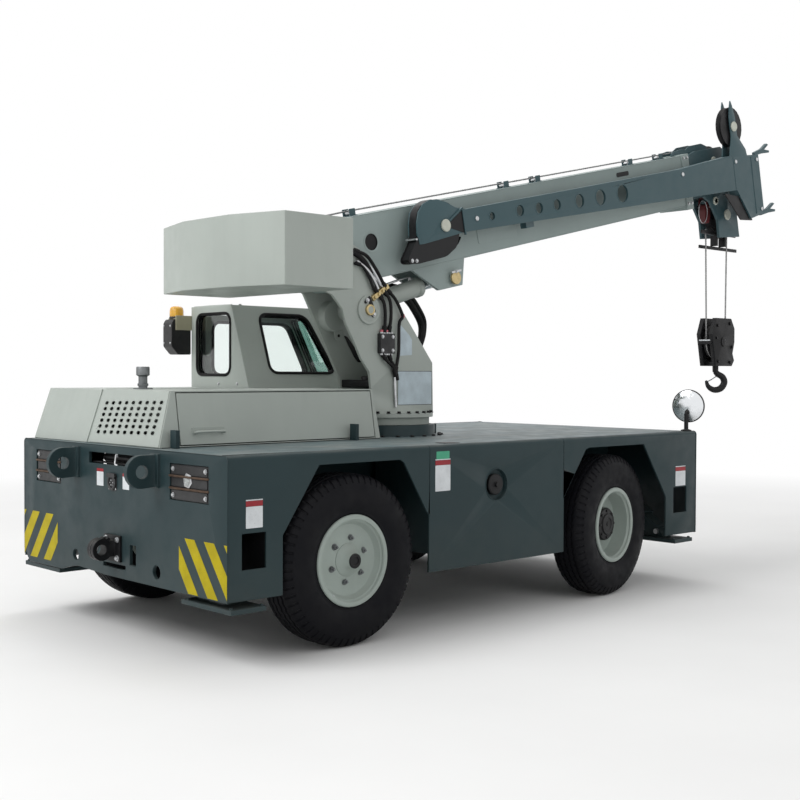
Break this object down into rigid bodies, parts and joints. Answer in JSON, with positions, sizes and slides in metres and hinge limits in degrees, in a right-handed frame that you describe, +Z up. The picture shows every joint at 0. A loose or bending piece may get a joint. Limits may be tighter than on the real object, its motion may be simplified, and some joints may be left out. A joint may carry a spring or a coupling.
{
  "type": "mobile crane",
  "caption": "Carry-deck mobile crane with a slewing telescopic boom, stowed side jib, hanging hook block, one-man cab, engine hood, steered wheels and sloping outriggers.",
  "frame": {"origin": "centre of the bounding box in plan, on the ground under the tyres", "axes": "+X forward along the boom and body, +Y to the left (the cab side), +Z up"},
  "size_m": [6.153, 2.1018, 3.4681],
  "materials": {
    "slate_paint": "see scene",
    "grey_paint": "see scene",
    "rim_paint": "see scene",
    "black_paint": "see scene",
    "tyre_rubber": "see scene",
    "cast_metal": "see scene",
    "steel": "see scene",
    "chrome_rod": "see scene",
    "cab_glass": "see scene",
    "mirror_glass": "see scene",
    "seat_vinyl": "see scene",
    "black_plastic": "see scene"
  },
  "bodies": {
    "carrier": {"chassis_frame": "slate_paint", "rear_outrigger_box": "slate_paint", "front_outrigger_box": "slate_paint", "turntable_pedestal": "slate_paint", "deck_plate": "slate_paint", "rear_body": "slate_paint", "front_body": "slate_paint", "right_side_tank": "slate_paint", "left_side_panel": "slate_paint", "engine_hood": "grey_paint", "grille_panel": "grey_paint", "engine_block": "cast_metal", "exhaust_stack": "steel", "cab_shell": "grey_paint", "cab_rear_glass": "cab_glass", "cab_right_glass": "cab_glass", "cab_front_glass": "cab_glass", "cab_seat": "seat_vinyl", "cab_console": "black_plastic", "beacon_unit": "black_plastic", "round_mirror": "mirror_glass", "pintle_hitch": "black_paint", "rear_axle": "black_paint", "front_axle": "black_paint"},
    "hood_cover": {"hood_side_cover": "grey_paint"},
    "door": {"cab_door": "grey_paint", "door_glass": "cab_glass"},
    "turret": {"mast": "grey_paint", "winch_housing": "grey_paint"},
    "drum": {"winch_drum": "black_paint"},
    "boom": {"boom_base": "grey_paint", "stowed_jib": "slate_paint"},
    "mid_section": {"boom_mid": "grey_paint"},
    "tip_section": {"boom_tip": "slate_paint"},
    "nose_wheel": {"nose_sheave": "black_paint"},
    "jib_tip_wheel": {"jib_tip_sheave": "black_paint"},
    "jib_top_wheel": {"jib_top_sheave": "black_paint"},
    "lift_tube": {"lift_barrel": "grey_paint"},
    "lift_stick": {"lift_rod": "chrome_rod"},
    "block": {"hook_block": "black_paint"},
    "block_wheel": {"hook_sheave": "black_paint"},
    "swivel_hook": {"hook": "black_paint"},
    "rear_right_hub": {"rear_right_knuckle": "cast_metal"},
    "rear_right_wheel": {"rear_right_rim": "rim_paint", "rear_right_tyre": "tyre_rubber"},
    "rear_left_hub": {"rear_left_knuckle": "cast_metal"},
    "rear_left_wheel": {"rear_left_rim": "rim_paint", "rear_left_tyre": "tyre_rubber"},
    "rear_tie": {"rear_tie_rod": "black_paint"},
    "front_right_hub": {"front_right_knuckle": "cast_metal"},
    "front_right_wheel": {"front_right_rim": "rim_paint", "front_right_tyre": "tyre_rubber"},
    "front_left_hub": {"front_left_knuckle": "cast_metal"},
    "front_left_wheel": {"front_left_rim": "rim_paint", "front_left_tyre": "tyre_rubber"},
    "front_tie": {"front_tie_rod": "black_paint"},
    "rear_right_stand": {"rear_right_outrigger": "slate_paint"},
    "rear_left_stand": {"rear_left_outrigger": "slate_paint"},
    "front_right_stand": {"front_right_outrigger": "slate_paint"},
    "front_left_stand": {"front_left_outrigger": "slate_paint"}
  },
  "joints": [
    {"name": "hood_cover_lift", "type": "hinge", "parent": "carrier", "child": "hood_cover", "pos_m": [-2.095, -0.284, 1.242], "axis": [-1, 0, 0], "range_deg": [0, 75]},
    {"name": "door_swing", "type": "hinge", "parent": "carrier", "child": "door", "pos_m": [-1.732, 0.97, 1.09], "axis": [0, 0, 1], "range_deg": [0, 75]},
    {"name": "rear_right_steer", "type": "hinge", "parent": "carrier", "child": "rear_right_hub", "pos_m": [-2.16, -0.77, 0.426], "axis": [0, 0, 1], "range_deg": [-30, 30]},
    {"name": "rear_right_spin", "type": "hinge", "parent": "rear_right_hub", "child": "rear_right_wheel", "pos_m": [-2.16, -0.86, 0.426], "axis": [0, 1, 0], "continuous": true},
    {"name": "rear_left_steer", "type": "hinge", "parent": "carrier", "child": "rear_left_hub", "pos_m": [-2.16, 0.77, 0.426], "axis": [0, 0, 1], "range_deg": [-30, 30]},
    {"name": "rear_left_spin", "type": "hinge", "parent": "rear_left_hub", "child": "rear_left_wheel", "pos_m": [-2.16, 0.86, 0.426], "axis": [0, 1, 0], "continuous": true},
    {"name": "rear_tie_turn", "type": "hinge", "parent": "rear_right_hub", "child": "rear_tie", "pos_m": [-2.04, -0.77, 0.33], "axis": [0, 0, 1], "range_deg": [-30, 30]},
    {"name": "front_right_steer", "type": "hinge", "parent": "carrier", "child": "front_right_hub", "pos_m": [-0.08, -0.77, 0.426], "axis": [0, 0, 1], "range_deg": [-38, 22]},
    {"name": "front_right_spin", "type": "hinge", "parent": "front_right_hub", "child": "front_right_wheel", "pos_m": [-0.06747, -0.85912, 0.426], "axis": [-0.1392, 0.9903, 0], "continuous": true},
    {"name": "front_left_steer", "type": "hinge", "parent": "carrier", "child": "front_left_hub", "pos_m": [-0.08, 0.77, 0.426], "axis": [0, 0, 1], "range_deg": [-38, 22]},
    {"name": "front_left_spin", "type": "hinge", "parent": "front_left_hub", "child": "front_left_wheel", "pos_m": [-0.09253, 0.85912, 0.426], "axis": [-0.1392, 0.9903, 0], "continuous": true},
    {"name": "front_tie_turn", "type": "hinge", "parent": "front_right_hub", "child": "front_tie", "pos_m": [-0.19883, -0.7867, 0.33], "axis": [0, 0, 1], "range_deg": [-22, 38]},
    {"name": "rear_right_extend", "type": "slide", "parent": "carrier", "child": "rear_right_stand", "axis": [0, -0.866, -0.5], "range_m": [0, 0.5]},
    {"name": "rear_left_extend", "type": "slide", "parent": "carrier", "child": "rear_left_stand", "axis": [0, 0.866, -0.5], "range_m": [0, 0.5]},
    {"name": "front_right_extend", "type": "slide", "parent": "carrier", "child": "front_right_stand", "axis": [0, -0.866, -0.5], "range_m": [0, 0.5]},
    {"name": "front_left_extend", "type": "slide", "parent": "carrier", "child": "front_left_stand", "axis": [0, 0.866, -0.5], "range_m": [0, 0.5]},
    {"name": "slew", "type": "hinge", "parent": "carrier", "child": "turret", "pos_m": [-1.065, 0, 1.07], "axis": [0, 0, 1], "continuous": true},
    {"name": "drum_spin", "type": "hinge", "parent": "turret", "child": "drum", "pos_m": [-1.93, 0, 1.985], "axis": [0, 1, 0], "continuous": true},
    {"name": "luff", "type": "hinge", "parent": "turret", "child": "boom", "pos_m": [-1.515, 0, 1.88], "axis": [0, -1, 0], "range_deg": [-12.9, 57.1]},
    {"name": "lift_tilt", "type": "hinge", "parent": "turret", "child": "lift_tube", "pos_m": [-1.341, 0, 1.707], "axis": [0, -1, 0], "range_deg": [-13.3, 58.4]},
    {"name": "lift_stroke", "type": "slide", "parent": "lift_tube", "child": "lift_stick", "axis": [0.9556, 0, 0.2948], "range_m": [-0.055, 0.237]},
    {"name": "mid_extend", "type": "slide", "parent": "boom", "child": "mid_section", "axis": [0.9748, 0, 0.2233], "range_m": [0, 2.4]},
    {"name": "tip_extend", "type": "slide", "parent": "mid_section", "child": "tip_section", "axis": [0.9748, 0, 0.2233], "range_m": [0, 2.4]},
    {"name": "nose_spin", "type": "hinge", "parent": "tip_section", "child": "nose_wheel", "pos_m": [2.57268, 0, 2.62128], "axis": [0, 1, 0], "continuous": true},
    {"name": "jib_tip_spin", "type": "hinge", "parent": "boom", "child": "jib_tip_wheel", "pos_m": [-0.8208, -0.222, 2.23083], "axis": [0, 1, 0], "continuous": true},
    {"name": "jib_top_spin", "type": "hinge", "parent": "boom", "child": "jib_top_wheel", "pos_m": [2.3731, -0.222, 3.27318], "axis": [0, 1, 0], "continuous": true},
    {"name": "block_hang", "type": "hinge", "parent": "tip_section", "child": "block", "pos_m": [2.57268, 0, 2.62128], "axis": [0, -1, 0], "range_deg": [-57.2, 13]},
    {"name": "block_spin", "type": "hinge", "parent": "block", "child": "block_wheel", "pos_m": [2.57268, 0, 1.60128], "axis": [0, 1, 0], "continuous": true},
    {"name": "hook_swivel", "type": "hinge", "parent": "block", "child": "swivel_hook", "pos_m": [2.57268, 0, 1.40028], "axis": [0, 0, 1], "continuous": true}
  ],
  "couplings": [
    {"joint": "rear_left_steer", "follows": "rear_right_steer", "ratio": 1},
    {"joint": "rear_tie_turn", "follows": "rear_right_steer", "ratio": -1},
    {"joint": "front_left_steer", "follows": "front_right_steer", "ratio": 1},
    {"joint": "front_tie_turn", "follows": "front_right_steer", "ratio": -1},
    {"joint": "lift_tilt", "follows": "luff", "ratio": 1.02},
    {"joint": "lift_stroke", "follows": "luff", "m_per_rad": 0.2358},
    {"joint": "tip_extend", "follows": "mid_extend", "ratio": 1},
    {"joint": "block_hang", "follows": "luff", "ratio": -1}
  ]
}
